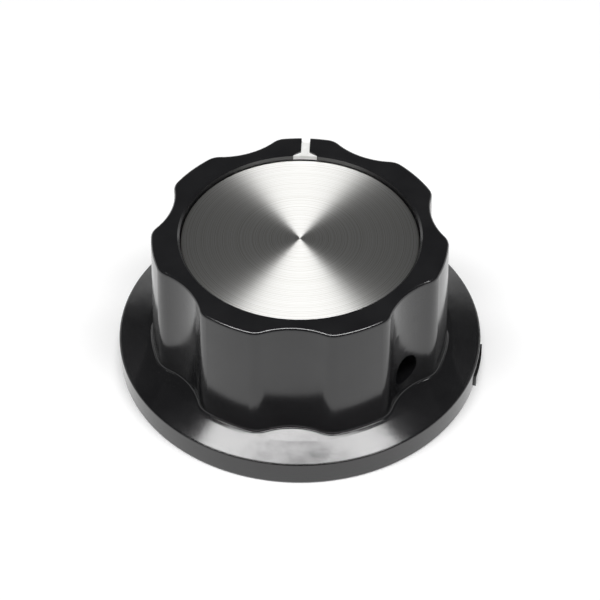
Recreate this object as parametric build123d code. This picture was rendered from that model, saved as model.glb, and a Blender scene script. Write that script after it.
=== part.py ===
from build123d import *
import math
import os

# Fluted control knob with a skirt, for a plain 6 mm potentiometer shaft.
# Millimetres. +Z up, the knob's axis is Z, and the origin is on the axis at the skirt's underside.
# The pointer line lies at +Y.

# Overall sizes.
HEIGHT = 17.2
SKIRT_R = 20.0
GRIP_R = 15.75

# Skirt: its top falls gently from the grip to the edge.
SKIRT_EDGE_T = 2.85
SKIRT_CROWN = 0.2
SKIRT_EDGE_ROUND = 0.2

# Grip: lobes on a circle, with a shallow round flute between each two.
LOBES = 7
FLUTE_DEPTH = 1.4
FLUTE_R = 8.0
LOBE_CORNER_R = 2.0
GRIP_DRAFT_DEG = 2.0
GRIP_TOP_ROUND = 0.35
GRIP_BASE_ROUND = 0.3

# Recess for the disc, and the disc.
RIM_W = 1.6
DISC_DROP = 0.8
DISC_T = 0.8
DISC_GAP = 0.1
DISC_EDGE_ROUND = 0.12
RECESS_LIP = 0.22
TOP_WEB_T = 2.0

# Hollow underside.
LEDGE_Z = 2.1
LEDGE_W = 1.5
MOUTH_FLARE = 0.5
WALL_AT_FLUTE = 1.2
HUB_Z = 1.9
POCKET_CORNER_R = 0.8
POCKET_DRAFT_DEG = 1.0
POINTER_RIB_W = 5.0
SIDE_RIB_W = 7.2

# Ejector pin witness rings on the ribs.
PIN_MARK_R = 10.3
SIDE_PIN_R = 2.35
POINTER_PIN_R = 1.45
PIN_MARK_W = 0.14
PIN_MARK_DEPTH = 0.1

# Brass insert, moulded into the hub.
BORE_R = 3.03
BORE_CHAMFER = 0.3
NECK_WALL = 0.97
NECK_L = 1.4
INSERT_WALL = 1.8
INSERT_SETBACK = 0.4
KNURL_COUNT = 24
KNURL_DEPTH = 0.3
HUB_WALL = 2.1

# Set screw, M3 in nominal size.
SCREW_R = 1.48
SCREW_L = 6.0
SCREW_Z = 6.4
THREAD_CLEARANCE = 0.04
DRIVER_CLEARANCE = 0.27
SCREW_SETBACK = 0.07
SCREW_POINT = 0.4
SLOT_W = 0.55
SLOT_DEPTH = 0.75

# Pointer groove and the paint in it.
TOP_GROOVE_W = 0.95
TOP_GROOVE_DEPTH = 0.7
TOP_PAINT_T = 0.5
GROOVE_FLARE_W = 2.6
GROOVE_FLARE_L = 0.55
SIDE_GROOVE_W = 0.85
SIDE_GROOVE_DEPTH = 0.35
SIDE_PAINT_T = 0.25
BARE_NOTCH = 0.35

# Moulding gates on the skirt's edge.
STUB_ANGLE_DEG = -8.0
STUB_L = 5.0
STUB_H = 1.5
STUB_PROUD = 0.22
GATE_PAD_W = 1.2
GATE_PAD_DEPTH = 0.25
GATE_PAD_INSET = 1.1
NOTCH_ANGLE_DEG = 190.0
NOTCH_L = 4.0
NOTCH_H = 0.8
NOTCH_DEPTH = 0.4

# How far a cutting shape runs past the face that it cuts through.
OVERRUN = 1.0

# Worked out from the sizes above.
LOBE_PITCH_DEG = 360.0 / LOBES
POINTER_ANGLE_DEG = 90.0
RIB_SPREAD_DEG = 2.5 * LOBE_PITCH_DEG
SCREW_ANGLE_DEG = POINTER_ANGLE_DEG - RIB_SPREAD_DEG
FLUTE_BOTTOM_R = GRIP_R - FLUTE_DEPTH
CROWN_Z = SKIRT_EDGE_T + SKIRT_CROWN
GRIP_SPREAD = (HEIGHT - SKIRT_EDGE_T) * math.tan(math.radians(GRIP_DRAFT_DEG))
SEAT_R = GRIP_R + GRIP_SPREAD + 2 * GRIP_BASE_ROUND
RECESS_R = FLUTE_BOTTOM_R - RIM_W
DISC_R = RECESS_R - DISC_GAP
DISC_TOP_Z = HEIGHT - DISC_DROP
RECESS_Z = DISC_TOP_Z - DISC_T
CEILING_Z = RECESS_Z - TOP_WEB_T
POCKET_R = FLUTE_BOTTOM_R - WALL_AT_FLUTE
LEDGE_R = POCKET_R + LEDGE_W
INSERT_R = BORE_R + INSERT_WALL
NECK_R = BORE_R + NECK_WALL
INSERT_TOP_Z = CEILING_Z - INSERT_SETBACK
HUB_R = INSERT_R + HUB_WALL
SCREW_TIP_R = BORE_R + SCREW_SETBACK


def ring(outer_r, inner_r):
    return Circle(outer_r) - Circle(inner_r)


def at_angle(shape, angle_deg):
    return Rot(0, 0, angle_deg) * shape


def raised(sketch, z, height, taper=0.0):
    return extrude(Plane.XY.offset(z) * sketch, amount=height, taper=taper)


def side_slab(points, width):
    """A prism of the given width across X, with its outline in Y and Z."""
    outline = Plane.YZ * make_face(Polyline(*points, close=True))
    return extrude(outline, amount=width / 2, both=True)


# ---- Black moulded body ----


def grip_outline(spread):
    """The grip's outline, grown outwards by spread from its size at the very top."""
    flute_angle = POINTER_ANGLE_DEG + LOBE_PITCH_DEG / 2
    outline = at_angle(Circle(GRIP_R + spread), flute_angle)
    for index in range(LOBES):
        flute = Pos(FLUTE_BOTTOM_R + FLUTE_R, 0, 0) * Circle(FLUTE_R - spread)
        outline -= at_angle(flute, flute_angle + index * LOBE_PITCH_DEG)
    return fillet(outline.vertices(), LOBE_CORNER_R + spread)


def skirt_top_z(radius):
    """Height of the skirt's top outside its flat seat for the grip."""
    return SKIRT_EDGE_T + SKIRT_CROWN * (SKIRT_R - radius) / (SKIRT_R - SEAT_R)


def skirt():
    section = make_face(
        Polyline(
            (0, 0),
            (SKIRT_R, 0),
            (SKIRT_R, SKIRT_EDGE_T),
            (SEAT_R, CROWN_Z),
            (0, CROWN_Z),
            close=True,
        )
    )
    disc = revolve(Plane.XZ * section, Axis.Z)
    edge_circles = [edge for edge in disc.edges().filter_by(GeomType.CIRCLE) if edge.radius > SEAT_R + 0.01]
    return fillet(edge_circles, SKIRT_EDGE_ROUND)


def grip():
    base = Plane.XY.offset(SKIRT_EDGE_T) * grip_outline(GRIP_SPREAD)
    top = Plane.XY.offset(HEIGHT) * grip_outline(0)
    solid = loft([base, top], ruled=True)
    return fillet(solid.faces().sort_by(Axis.Z)[-1].edges(), GRIP_TOP_ROUND)


def outer_shell():
    """Skirt and grip in one, with a small round where they meet."""
    joined = skirt() + grip()
    seat_edges = joined.edges().filter_by_position(Axis.Z, CROWN_Z - 0.01, CROWN_Z + 0.01)
    foot_edges = [edge for edge in seat_edges if not edge.is_closed]
    return fillet(foot_edges, GRIP_BASE_ROUND)


def ribs():
    """Plan of the three ribs: under the pointer, over the set screw, and opposite the screw."""
    reach = LEDGE_R + OVERRUN
    plan = Sketch()
    for angle, width in (
        (POINTER_ANGLE_DEG, POINTER_RIB_W),
        (SCREW_ANGLE_DEG, SIDE_RIB_W),
        (POINTER_ANGLE_DEG + RIB_SPREAD_DEG, SIDE_RIB_W),
    ):
        plan += at_angle(Pos(reach / 2, 0, 0) * Rectangle(reach, width), angle)
    return plan


def pockets():
    plan = Circle(POCKET_R) - Circle(HUB_R) - ribs()
    plan = fillet(plan.vertices(), POCKET_CORNER_R)
    return [raised(face, LEDGE_Z, CEILING_Z - LEDGE_Z, taper=POCKET_DRAFT_DEG) for face in plan.faces()]


def mouth():
    """The wide shallow recess under the skirt, flared towards its edge."""
    section = make_face(
        Polyline(
            (0, -OVERRUN),
            (LEDGE_R + MOUTH_FLARE, -OVERRUN),
            (LEDGE_R + MOUTH_FLARE, 0),
            (LEDGE_R, LEDGE_Z),
            (0, LEDGE_Z),
            close=True,
        )
    )
    return revolve(Plane.XZ * section, Axis.Z)


def hub_and_rib_faces():
    """The hub and the ribs stand slightly below the ledge around them."""
    plan = (Circle(HUB_R) + ribs()) & Circle(LEDGE_R)
    return raised(plan, HUB_Z, LEDGE_Z - HUB_Z)


def pin_marks():
    marks = []
    for angle, radius in (
        (POINTER_ANGLE_DEG, POINTER_PIN_R),
        (SCREW_ANGLE_DEG, SIDE_PIN_R),
        (POINTER_ANGLE_DEG + RIB_SPREAD_DEG, SIDE_PIN_R),
    ):
        mark = Pos(PIN_MARK_R, 0, 0) * ring(radius, radius - PIN_MARK_W)
        marks.append(raised(at_angle(mark, angle), HUB_Z, PIN_MARK_DEPTH))
    return marks


def recess():
    return raised(Circle(RECESS_R), RECESS_Z, HEIGHT - RECESS_Z + OVERRUN)


def recess_lip():
    return Pos(0, 0, HEIGHT - RECESS_LIP / 2) * Cone(RECESS_R, RECESS_R + RECESS_LIP, RECESS_LIP)


def screw_hole():
    """Way in for the set screw and its driver, from the flute to the insert."""
    length = GRIP_R + OVERRUN - NECK_R
    hole = Plane.YZ.offset(NECK_R) * Circle(SCREW_R + DRIVER_CLEARANCE)
    return at_angle(Pos(0, 0, SCREW_Z) * extrude(hole, amount=length), SCREW_ANGLE_DEG)


def stub():
    """Rough remains of the gate, standing off the skirt's edge."""
    half_angle = math.degrees(STUB_L / 2 / SKIRT_R)
    plan = ring(SKIRT_R + STUB_PROUD, SKIRT_R - OVERRUN) & wedge(half_angle, SKIRT_R + OVERRUN)
    return at_angle(raised(plan, 0, STUB_H), STUB_ANGLE_DEG)


def wedge(half_angle_deg, reach):
    """A triangle from the axis that covers an angle each side of +X."""
    half_width = reach * math.tan(math.radians(half_angle_deg))
    return make_face(Polyline((0, 0), (reach, -half_width), (reach, half_width), close=True))


def gate_pad():
    middle_r = SKIRT_R - GATE_PAD_INSET
    half_angle = math.degrees(STUB_L / 2 / SKIRT_R)
    plan = ring(middle_r + GATE_PAD_W / 2, middle_r - GATE_PAD_W / 2) & wedge(half_angle, SKIRT_R + OVERRUN)
    return at_angle(raised(plan, 0, GATE_PAD_DEPTH), STUB_ANGLE_DEG)


def gate_notch():
    block = Pos(SKIRT_R, 0, NOTCH_H / 2 - OVERRUN / 2) * Box(2 * NOTCH_DEPTH, NOTCH_L, NOTCH_H + OVERRUN)
    return at_angle(block, NOTCH_ANGLE_DEG)


# ---- Pointer groove and paint ----


def top_groove_plan(outer_y):
    """Plan of the groove across the rim, which widens where it opens into the recess."""
    half = TOP_GROOVE_W / 2
    flare_half = GROOVE_FLARE_W / 2
    return make_face(
        Polyline(
            (-flare_half, RECESS_R - OVERRUN),
            (flare_half, RECESS_R - OVERRUN),
            (flare_half, RECESS_R),
            (half, RECESS_R + GROOVE_FLARE_L),
            (half, outer_y),
            (-half, outer_y),
            (-half, RECESS_R + GROOVE_FLARE_L),
            (-flare_half, RECESS_R),
            close=True,
        )
    )


def top_groove():
    plan = top_groove_plan(GRIP_R + OVERRUN)
    return raised(plan, HEIGHT - TOP_GROOVE_DEPTH, TOP_GROOVE_DEPTH + OVERRUN)


def channel_line(depth):
    """Points down the grip, across the skirt and down its edge, at a depth below the surface."""
    foot_r = GRIP_R + GRIP_SPREAD
    return [
        (GRIP_R - depth, HEIGHT),
        (foot_r - depth, skirt_top_z(foot_r) - depth),
        (SKIRT_R - depth, SKIRT_EDGE_T - depth),
        (SKIRT_R - depth, 0),
    ]


def side_groove():
    line = channel_line(SIDE_GROOVE_DEPTH)
    outside = SKIRT_R + OVERRUN
    below = (line[-1][0], -OVERRUN)
    return side_slab([*line, below, (outside, -OVERRUN), (outside, HEIGHT)], SIDE_GROOVE_W)


def pointer_fill_top():
    plan = top_groove_plan(GRIP_R - SIDE_GROOVE_DEPTH - BARE_NOTCH)
    fill = raised(plan, HEIGHT - TOP_GROOVE_DEPTH, TOP_PAINT_T)
    return fill - Cylinder(RECESS_R, 4 * HEIGHT)


def pointer_fill_side():
    inner = channel_line(SIDE_GROOVE_DEPTH)
    outer = channel_line(SIDE_GROOVE_DEPTH - SIDE_PAINT_T)
    strip = side_slab([*inner, *reversed(outer)], SIDE_GROOVE_W)
    paint_top_z = HEIGHT - TOP_GROOVE_DEPTH - BARE_NOTCH
    above = Pos(0, 0, paint_top_z + HEIGHT / 2) * Box(4 * SKIRT_R, 4 * SKIRT_R, HEIGHT)
    return strip - above


# ---- Brass insert, set screw and disc ----


def knurled_outline():
    points = []
    for index in range(KNURL_COUNT):
        for share, radius in ((0.0, INSERT_R), (0.5, INSERT_R - KNURL_DEPTH)):
            angle = math.tau * (index + share) / KNURL_COUNT
            points.append((radius * math.cos(angle), radius * math.sin(angle)))
    return make_face(Polyline(*points, close=True))


def insert_blank():
    """The insert's outside, which the hub is moulded round: a plain neck and a knurled barrel."""
    shoulder_z = HUB_Z + NECK_L
    neck = raised(Circle(NECK_R), HUB_Z, NECK_L)
    barrel = raised(knurled_outline(), shoulder_z, INSERT_TOP_Z - shoulder_z)
    return neck + barrel


def shaft_insert():
    bore = raised(Circle(BORE_R), HUB_Z - OVERRUN, INSERT_TOP_Z - HUB_Z + 2 * OVERRUN)
    lead_in = Pos(0, 0, HUB_Z + BORE_CHAMFER / 2) * Cone(BORE_R + BORE_CHAMFER, BORE_R, BORE_CHAMFER)
    tapped = Plane.YZ * Circle(SCREW_R + THREAD_CLEARANCE)
    tapped = at_angle(Pos(0, 0, SCREW_Z) * extrude(tapped, amount=INSERT_R + OVERRUN), SCREW_ANGLE_DEG)
    return insert_blank() - bore - lead_in - tapped


def set_screw():
    """The screw lies along X here, point inwards, and is then turned to its flute."""
    shank = extrude(Plane.YZ.offset(SCREW_TIP_R) * Circle(SCREW_R), amount=SCREW_L)
    shank = chamfer(shank.edges().filter_by(GeomType.CIRCLE).sort_by(Axis.X)[0], SCREW_POINT)
    slot_x = SCREW_TIP_R + SCREW_L - SLOT_DEPTH / 2
    slot = Pos(slot_x, 0, 0) * Box(SLOT_DEPTH, 4 * SCREW_R, SLOT_W)
    return at_angle(Pos(0, 0, SCREW_Z) * (shank - slot), SCREW_ANGLE_DEG)


def cap_disc():
    disc = raised(Circle(DISC_R), RECESS_Z, DISC_T)
    return fillet(disc.faces().sort_by(Axis.Z)[-1].edges(), DISC_EDGE_ROUND)


def knob_body():
    body = outer_shell() + stub()
    body -= mouth()
    body -= pockets()
    body += hub_and_rib_faces()
    body -= recess()
    body -= recess_lip()
    body -= pin_marks()
    body -= insert_blank()
    body -= screw_hole()
    body -= top_groove()
    body -= side_groove()
    body -= gate_pad()
    body -= gate_notch()
    return body


NODES = {
    "knob_body": knob_body,
    "cap_disc": cap_disc,
    "shaft_insert": shaft_insert,
    "set_screw": set_screw,
    "pointer_fill_top": pointer_fill_top,
    "pointer_fill_side": pointer_fill_side,
}

os.makedirs("parts", exist_ok=True)
for name, build in NODES.items():
    export_step(build(), f"parts/{name}.step")
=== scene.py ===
"""Looks for the fluted control knob: finishes, turned disc, set-screw thread, studio and camera."""
import math

import bpy
from mathutils import Matrix, Vector

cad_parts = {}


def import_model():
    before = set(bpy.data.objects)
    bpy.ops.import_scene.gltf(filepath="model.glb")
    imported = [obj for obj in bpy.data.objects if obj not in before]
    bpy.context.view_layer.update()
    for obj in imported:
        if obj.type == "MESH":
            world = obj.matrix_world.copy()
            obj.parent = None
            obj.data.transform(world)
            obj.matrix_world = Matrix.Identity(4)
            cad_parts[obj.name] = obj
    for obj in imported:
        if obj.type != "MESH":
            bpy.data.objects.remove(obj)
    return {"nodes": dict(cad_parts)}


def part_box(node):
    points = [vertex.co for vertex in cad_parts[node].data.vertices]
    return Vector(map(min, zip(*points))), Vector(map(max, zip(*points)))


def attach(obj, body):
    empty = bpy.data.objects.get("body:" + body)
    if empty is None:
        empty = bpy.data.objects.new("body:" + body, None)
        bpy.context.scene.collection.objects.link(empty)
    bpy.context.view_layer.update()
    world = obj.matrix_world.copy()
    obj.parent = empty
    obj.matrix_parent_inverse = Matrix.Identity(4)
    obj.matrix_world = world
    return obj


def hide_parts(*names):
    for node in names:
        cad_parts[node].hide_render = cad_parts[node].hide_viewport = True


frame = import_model()
bpy.context.view_layer.update()

NODES = frame["nodes"]
MM = 0.001

DISC_LO, DISC_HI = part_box("cap_disc")
SCREW_LO, SCREW_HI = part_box("set_screw")

# The skirt's top is turned to fine ridges. It all lies below SKIRT_TOP.
SKIRT_TOP = 3.4 * MM
FACING_UP = 0.9
TURNING_PITCH = 0.08 * MM
TURNING_SLOPE = 0.465

# Turned disc.
DISC_R = DISC_HI.x
RING_PITCH = 0.17 * MM
RING_DEPTH = 0.006 * MM
DISC_EDGE_ROUND = 0.12 * MM
DISC_EDGE_STEPS = 4
DISC_SEGMENTS = 360

# Set screw: M3 with a 0.5 mm pitch. Its axis passes through the knob's axis.
THREAD_PITCH = 0.5 * MM
THREAD_DEPTH = 0.27 * MM
SCREW_R = (SCREW_HI.z - SCREW_LO.z) / 2
SCREW_MIDDLE = (SCREW_LO + SCREW_HI) / 2
SCREW_POINT = 0.4 * MM
SLOT_W = 0.55 * MM
SLOT_DEPTH = 0.75 * MM
THREAD_CREST = 0.12
THREAD_FLANK = 0.72
THREAD_SEGMENTS = 64
THREAD_STEPS_PER_PITCH = 10
SHARP_ANGLE = math.radians(40)

# Camera: it looks down at the knob from the front.
VIEW_AZIMUTH = math.radians(2.5)
VIEW_ELEVATION = math.radians(44.6)
VIEW_DISTANCE = 0.2114
VIEW_TARGET_Z = 0.0072
LENS_MM = 116.0
SENSOR_MM = 36.0
NEAREST = 0.01
FARTHEST = 20.0

# Softbox: above the knob and a little towards the camera.
SOFTBOX_PLACE = Vector((0.0, -0.14, 0.79))
SOFTBOX_WIDTH = 0.96
SOFTBOX_DEPTH = 0.19
SOFTBOX_WATTS = 7.2

# Floor: a square of twice this size, with a little extra light for the camera alone.
FLOOR_HALF = 3.0
FLOOR_GREY = 0.88
FLOOR_LIFT = 0.16

# World: sines of the elevations at which the white backdrop ends and the dim studio begins.
BACKDROP_TOP = 0.06
STUDIO_FROM = 0.25
STUDIO_GREY = 0.08
WHITE = (1.0, 1.0, 1.0, 1.0)


# ---- Node helpers ----


class Nodes:
    """Short forms for building a material's node tree."""

    def __init__(self, name):
        self.material = bpy.data.materials.new(name)
        self.material.use_nodes = True
        self.tree = self.material.node_tree
        self.tree.nodes.clear()
        self.output = self.tree.nodes.new("ShaderNodeOutputMaterial")

    def add(self, kind, **settings):
        node = self.tree.nodes.new(kind)
        for key, value in settings.items():
            setattr(node, key, value)
        return node

    def link(self, source, target):
        self.tree.links.new(source, target)

    def principled(self, **values):
        node = self.add("ShaderNodeBsdfPrincipled")
        for key, value in values.items():
            node.inputs[key.replace("_", " ")].default_value = value
        self.link(node.outputs["BSDF"], self.output.inputs["Surface"])
        return node

    def position(self):
        return self.add("ShaderNodeTexCoord").outputs["Object"]

    def math(self, operation, first, second=0.0, third=0.0):
        node = self.add("ShaderNodeMath", operation=operation)
        for socket, value in zip(node.inputs, (first, second, third)):
            if isinstance(value, (int, float)):
                socket.default_value = value
            else:
                self.link(value, socket)
        return node.outputs[0]

    def noise(self, scale, vector, detail=3.0, roughness=0.5):
        node = self.add("ShaderNodeTexNoise")
        node.inputs["Scale"].default_value = scale
        node.inputs["Detail"].default_value = detail
        node.inputs["Roughness"].default_value = roughness
        self.link(vector, node.inputs["Vector"])
        return node.outputs["Fac"]

    def rings(self, scale, detail=2.0):
        """Noise that changes only with the distance from the knob's axis."""
        node = self.add("ShaderNodeTexNoise", noise_dimensions="1D")
        node.inputs["Scale"].default_value = scale
        node.inputs["Detail"].default_value = detail
        self.link(self.radius(), node.inputs["W"])
        return node.outputs["Fac"]

    def ramp(self, factor, stops):
        node = self.add("ShaderNodeValToRGB")
        elements = node.color_ramp.elements
        while len(elements) < len(stops):
            elements.new(0.5)
        for element, (place, colour) in zip(elements, stops):
            element.position = place
            element.color = (*colour, 1.0)
        self.link(factor, node.inputs["Fac"])
        return node.outputs["Color"]

    def spread(self, factor, low, high, to_low, to_high):
        node = self.add("ShaderNodeMapRange")
        self.link(factor, node.inputs["Value"])
        for key, value in (("From Min", low), ("From Max", high), ("To Min", to_low), ("To Max", to_high)):
            node.inputs[key].default_value = value
        return node.outputs["Result"]

    def bump(self, height, strength, distance, normal=None):
        node = self.add("ShaderNodeBump")
        node.inputs["Strength"].default_value = strength
        node.inputs["Distance"].default_value = distance
        self.link(height, node.inputs["Height"])
        if normal:
            self.link(normal, node.inputs["Normal"])
        return node.outputs["Normal"]

    def split(self, vector):
        node = self.add("ShaderNodeSeparateXYZ")
        self.link(vector, node.inputs["Vector"])
        return node.outputs

    def radius(self):
        """Distance from the knob's axis, in metres."""
        place = self.split(self.position())
        x_square = self.math("MULTIPLY", place["X"], place["X"])
        return self.math("SQRT", self.math("MULTIPLY_ADD", place["Y"], place["Y"], x_square))


def paint(obj, material):
    obj.data.materials.clear()
    obj.data.materials.append(material)


# ---- Materials ----


def black_moulding():
    """Glossy black phenolic, faintly mottled and wavy. The skirt's top has fine turned ridges."""
    n = Nodes("black_moulding")
    place = n.position()
    mottle = n.noise(260.0, place, detail=4.0)
    colour = n.ramp(mottle, [(0.3, (0.006, 0.006, 0.007)), (0.7, (0.011, 0.011, 0.012))])
    shader = n.principled(Roughness=0.16, IOR=1.6, Specular_IOR_Level=0.62)
    n.link(colour, shader.inputs["Base Color"])
    ridges = n.math("SUBTRACT", TURNING_PITCH, n.math("MODULO", n.radius(), TURNING_PITCH))
    low = n.math("LESS_THAN", n.split(place)["Z"], SKIRT_TOP)
    facing = n.split(n.add("ShaderNodeNewGeometry").outputs["Normal"])
    upward = n.math("GREATER_THAN", facing["Z"], FACING_UP)
    marks = n.math("MULTIPLY", ridges, n.math("MULTIPLY", low, upward))
    wear = n.spread(n.noise(300.0, place, detail=5.0, roughness=0.65), 0.35, 0.65, 0.93, 1.0)
    skin = n.bump(n.math("MULTIPLY", marks, wear), 1.0, TURNING_SLOPE)
    wave = n.noise(420.0, place, detail=2.0)
    n.link(n.bump(wave, 0.25, 0.02 * MM, skin), shader.inputs["Normal"])
    smudge = n.noise(180.0, place, detail=5.0, roughness=0.6)
    n.link(n.spread(smudge, 0.3, 0.7, 0.12, 0.2), shader.inputs["Roughness"])
    return n.material


def turned_aluminium():
    """Bright turned disc: highlights fan out from the middle, as concentric tool marks make them."""
    n = Nodes("turned_aluminium")
    shader = n.principled(Metallic=1.0, Roughness=0.5, Anisotropic=0.95, Anisotropic_Rotation=0.25)
    tangent = n.add("ShaderNodeTangent", direction_type="RADIAL", axis="Z")
    n.link(tangent.outputs["Tangent"], shader.inputs["Tangent"])
    rings = n.rings(11000.0, detail=3.0)
    colour = n.ramp(rings, [(0.32, (0.70, 0.69, 0.65)), (0.62, (0.97, 0.97, 0.96))])
    n.link(colour, shader.inputs["Base Color"])
    n.link(n.spread(rings, 0.25, 0.75, 0.48, 0.52), shader.inputs["Roughness"])
    n.link(n.bump(rings, 0.3, 0.004 * MM), shader.inputs["Normal"])
    return n.material


def brass(name, dull, bright, roughness):
    """Machined brass: tone and polish wander a little, with turning marks round the axis."""
    n = Nodes(name)
    place = n.position()
    shader = n.principled(Metallic=1.0, Roughness=roughness)
    tone = n.noise(900.0, place, detail=4.0)
    n.link(n.ramp(tone, [(0.3, dull), (0.7, bright)]), shader.inputs["Base Color"])
    n.link(n.spread(tone, 0.2, 0.8, roughness * 0.6, roughness * 1.4), shader.inputs["Roughness"])
    n.link(n.bump(n.rings(12000.0), 0.2, 0.006 * MM), shader.inputs["Normal"])
    return n.material


def white_paint():
    """Thick matt white filling, a little uneven where it was wiped into the groove."""
    n = Nodes("white_paint")
    place = n.position()
    shader = n.principled(Roughness=0.55, Specular_IOR_Level=0.4)
    patch = n.noise(1500.0, place, detail=4.0)
    colour = n.ramp(patch, [(0.25, (0.82, 0.82, 0.80)), (0.6, (0.93, 0.93, 0.92))])
    n.link(colour, shader.inputs["Base Color"])
    n.link(n.bump(patch, 0.4, 0.03 * MM), shader.inputs["Normal"])
    return n.material


def pale_floor():
    """Plain pale surface that keeps the knob's shadow, and that glossy surfaces see as a white sweep."""
    n = Nodes("pale_floor")
    diffuse = n.add("ShaderNodeBsdfDiffuse")
    diffuse.inputs["Color"].default_value = (FLOOR_GREY, FLOOR_GREY, FLOOR_GREY, 1.0)
    white = n.add("ShaderNodeEmission")
    white.inputs["Strength"].default_value = 1.0
    path = n.add("ShaderNodeLightPath")
    lift = n.add("ShaderNodeEmission")
    n.link(n.math("MULTIPLY", path.outputs["Is Camera Ray"], FLOOR_LIFT), lift.inputs["Strength"])
    seen = n.add("ShaderNodeAddShader")
    n.link(diffuse.outputs["BSDF"], seen.inputs[0])
    n.link(lift.outputs["Emission"], seen.inputs[1])
    mix = n.add("ShaderNodeMixShader")
    n.link(path.outputs["Is Glossy Ray"], mix.inputs["Fac"])
    n.link(seen.outputs["Shader"], mix.inputs[1])
    n.link(white.outputs["Emission"], mix.inputs[2])
    n.link(mix.outputs["Shader"], n.output.inputs["Surface"])
    return n.material


# ---- Pieces ----


def mesh_object(name, points, faces):
    mesh = bpy.data.meshes.new(name)
    mesh.from_pydata(points, [], faces)
    mesh.validate()
    mesh.update()
    mesh.shade_smooth()
    obj = bpy.data.objects.new(name, mesh)
    bpy.context.scene.collection.objects.link(obj)
    return obj


def lathe(name, outline, segments):
    """Turns a list of (radius, z) about Z. A radius of 0 closes the end with a fan."""
    points = []
    rows = []
    for radius, z in outline:
        if radius == 0:
            rows.append([len(points)] * segments)
            points.append((0, 0, z))
            continue
        rows.append(list(range(len(points), len(points) + segments)))
        for step in range(segments):
            angle = math.tau * step / segments
            points.append((radius * math.cos(angle), radius * math.sin(angle), z))
    faces = []
    for low, high in zip(rows, rows[1:]):
        for step in range(segments):
            after = (step + 1) % segments
            corners = [low[step], low[after], high[after], high[step]]
            faces.append(list(dict.fromkeys(corners)))
    return mesh_object(name, points, faces)


def turned_disc():
    """The disc with real concentric grooves cut in its top."""
    top = DISC_HI.z
    flat_r = DISC_R - DISC_EDGE_ROUND
    outline = [(0, DISC_LO.z), (DISC_R, DISC_LO.z)]
    for step in range(DISC_EDGE_STEPS + 1):
        angle = math.pi / 2 * step / DISC_EDGE_STEPS
        radius = flat_r + DISC_EDGE_ROUND * math.cos(angle)
        outline.append((radius, top - DISC_EDGE_ROUND * (1 - math.sin(angle))))
    count = int(flat_r / RING_PITCH)
    for index in range(count):
        radius = flat_r - RING_PITCH * (index + 0.5)
        outline.append((radius, top - RING_DEPTH))
        outline.append((flat_r - RING_PITCH * (index + 1), top))
    outline.append((0, top))
    disc = lathe("turned_disc", outline, DISC_SEGMENTS)
    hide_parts("cap_disc")
    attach(disc, "knob")
    return disc


def thread_profile(phase):
    """Depth of a 60 degree thread, from 0 at the crest to 1 at the root, at a share of one pitch."""
    wave = abs((phase % 1.0) * 2 - 1)
    return min(1.0, max(0.0, (wave - THREAD_CREST) / THREAD_FLANK))


def thread_points(length, rows):
    """Rings of points along +X, from the screw's point to its slotted end."""
    points = []
    for row in range(rows + 1):
        along = length * row / rows
        cone = SCREW_R - max(0.0, SCREW_POINT - along)
        end_bevel = SCREW_R - max(0.0, along - (length - SCREW_POINT / 2))
        for step in range(THREAD_SEGMENTS):
            turn = step / THREAD_SEGMENTS
            depth = THREAD_DEPTH * thread_profile(along / THREAD_PITCH + turn)
            radius = min(SCREW_R - depth, cone, end_bevel)
            angle = math.tau * turn
            points.append((along, radius * math.cos(angle), radius * math.sin(angle)))
    return points


def thread_faces(rows):
    faces = []
    for row in range(rows):
        low = row * THREAD_SEGMENTS
        high = low + THREAD_SEGMENTS
        for step in range(THREAD_SEGMENTS):
            after = (step + 1) % THREAD_SEGMENTS
            faces.append((low + step, high + step, high + after, low + after))
    last = rows * THREAD_SEGMENTS
    faces.append(tuple(range(THREAD_SEGMENTS)))
    faces.append(tuple(reversed(range(last, last + THREAD_SEGMENTS))))
    return faces


def threaded_screw():
    """Slotted set screw, made along +X and then turned and moved to the CAD screw's place."""
    outward = Vector((SCREW_MIDDLE.x, SCREW_MIDDLE.y, 0))
    direction = outward.normalized()
    length = threaded_length(direction)
    rows = int(length / THREAD_PITCH * THREAD_STEPS_PER_PITCH)
    screw = mesh_object("threaded_set_screw", thread_points(length, rows), thread_faces(rows))
    cut_slot(screw, length)
    tip = direction * (outward.length - length / 2)
    turned = Matrix.Rotation(math.atan2(direction.y, direction.x), 4, "Z")
    screw.data.transform(Matrix.Translation(tip + Vector((0, 0, SCREW_MIDDLE.z))) @ turned)
    screw.data.set_sharp_from_angle(angle=SHARP_ANGLE)
    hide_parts("set_screw")
    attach(screw, "screw")
    return screw


def threaded_length(direction):
    """The CAD screw's length along its own axis."""
    reach = [vertex.co.dot(direction) for vertex in NODES["set_screw"].data.vertices]
    return max(reach) - min(reach)


def cut_slot(screw, length):
    bpy.ops.mesh.primitive_cube_add(size=1.0, location=(length, 0, 0))
    cutter = bpy.context.active_object
    cutter.scale = (2 * SLOT_DEPTH, 4 * SCREW_R, SLOT_W)
    cut = screw.modifiers.new("slot", "BOOLEAN")
    cut.operation = "DIFFERENCE"
    cut.solver = "EXACT"
    cut.object = cutter
    bpy.context.view_layer.objects.active = screw
    bpy.ops.object.modifier_apply(modifier=cut.name)
    bpy.data.objects.remove(cutter)


# ---- Studio ----


def floor():
    far = FLOOR_HALF
    corners = [(-far, -far, 0), (far, -far, 0), (far, far, 0), (-far, far, 0)]
    plane = mesh_object("floor", corners, [(0, 1, 2, 3)])
    paint(plane, pale_floor())


def softbox():
    data = bpy.data.lights.new("overhead", "AREA")
    data.shape = "RECTANGLE"
    data.size = SOFTBOX_WIDTH
    data.size_y = SOFTBOX_DEPTH
    data.energy = SOFTBOX_WATTS
    light = bpy.data.objects.new("overhead", data)
    light.location = SOFTBOX_PLACE
    light.rotation_euler = (-SOFTBOX_PLACE).to_track_quat("-Z", "Y").to_euler()
    bpy.context.scene.collection.objects.link(light)


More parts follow.
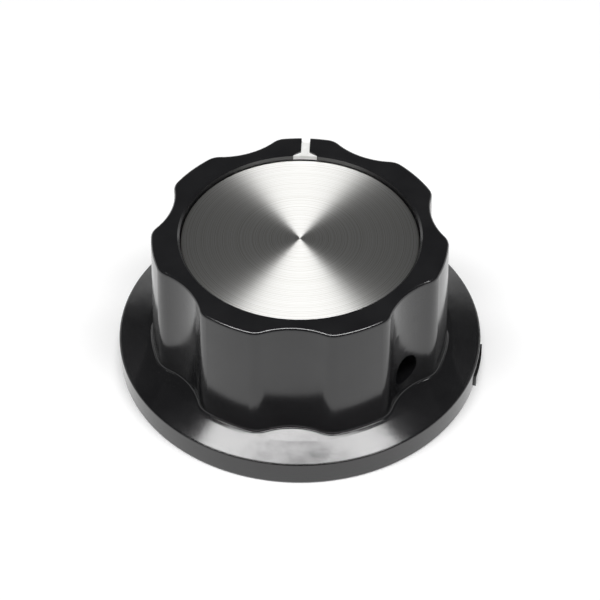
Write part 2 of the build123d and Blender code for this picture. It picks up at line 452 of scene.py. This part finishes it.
def world():
    """White backdrop round the horizon, and a dim studio above it."""
    scene_world = bpy.data.worlds.new("studio")
    bpy.context.scene.world = scene_world
    scene_world.use_nodes = True
    tree = scene_world.node_tree
    background = tree.nodes["Background"]
    background.inputs["Strength"].default_value = 1.0
    place = tree.nodes.new("ShaderNodeTexCoord")
    split = tree.nodes.new("ShaderNodeSeparateXYZ")
    tree.links.new(place.outputs["Generated"], split.inputs["Vector"])
    ramp = tree.nodes.new("ShaderNodeValToRGB")
    stops = ramp.color_ramp.elements
    stops[0].position = BACKDROP_TOP
    stops[0].color = WHITE
    stops[1].position = STUDIO_FROM
    stops[1].color = (STUDIO_GREY, STUDIO_GREY, STUDIO_GREY, 1.0)
    tree.links.new(split.outputs["Z"], ramp.inputs["Fac"])
    camera_white = tree.nodes.new("ShaderNodeMixRGB")
    camera_white.inputs[2].default_value = WHITE
    tree.links.new(tree.nodes.new("ShaderNodeLightPath").outputs["Is Camera Ray"], camera_white.inputs[0])
    tree.links.new(ramp.outputs["Color"], camera_white.inputs[1])
    tree.links.new(camera_white.outputs["Color"], background.inputs["Color"])


def camera():
    data = bpy.data.cameras.new("camera")
    data.sensor_width = SENSOR_MM
    data.lens = LENS_MM
    data.clip_start = NEAREST
    data.clip_end = FARTHEST
    obj = bpy.data.objects.new("camera", data)
    back = Vector(
        (
            math.sin(VIEW_AZIMUTH) * math.cos(VIEW_ELEVATION),
            -math.cos(VIEW_AZIMUTH) * math.cos(VIEW_ELEVATION),
            math.sin(VIEW_ELEVATION),
        )
    )
    obj.location = Vector((0, 0, VIEW_TARGET_Z)) + back * VIEW_DISTANCE
    obj.rotation_euler = (-back).to_track_quat("-Z", "Y").to_euler()
    bpy.context.scene.collection.objects.link(obj)
    bpy.context.scene.camera = obj


paint(NODES["knob_body"], black_moulding())
paint(NODES["shaft_insert"], brass("brass_insert", (0.72, 0.50, 0.20), (0.90, 0.70, 0.36), 0.16))
white = white_paint()
for fill in ("pointer_fill_top", "pointer_fill_side"):
    paint(NODES[fill], white)
paint(turned_disc(), turned_aluminium())
paint(threaded_screw(), brass("brass_screw", (0.70, 0.46, 0.17), (0.92, 0.70, 0.34), 0.22))

floor()
softbox()
world()
camera()

bpy.context.scene.view_settings.view_transform = "Standard"
bpy.context.view_layer.update()
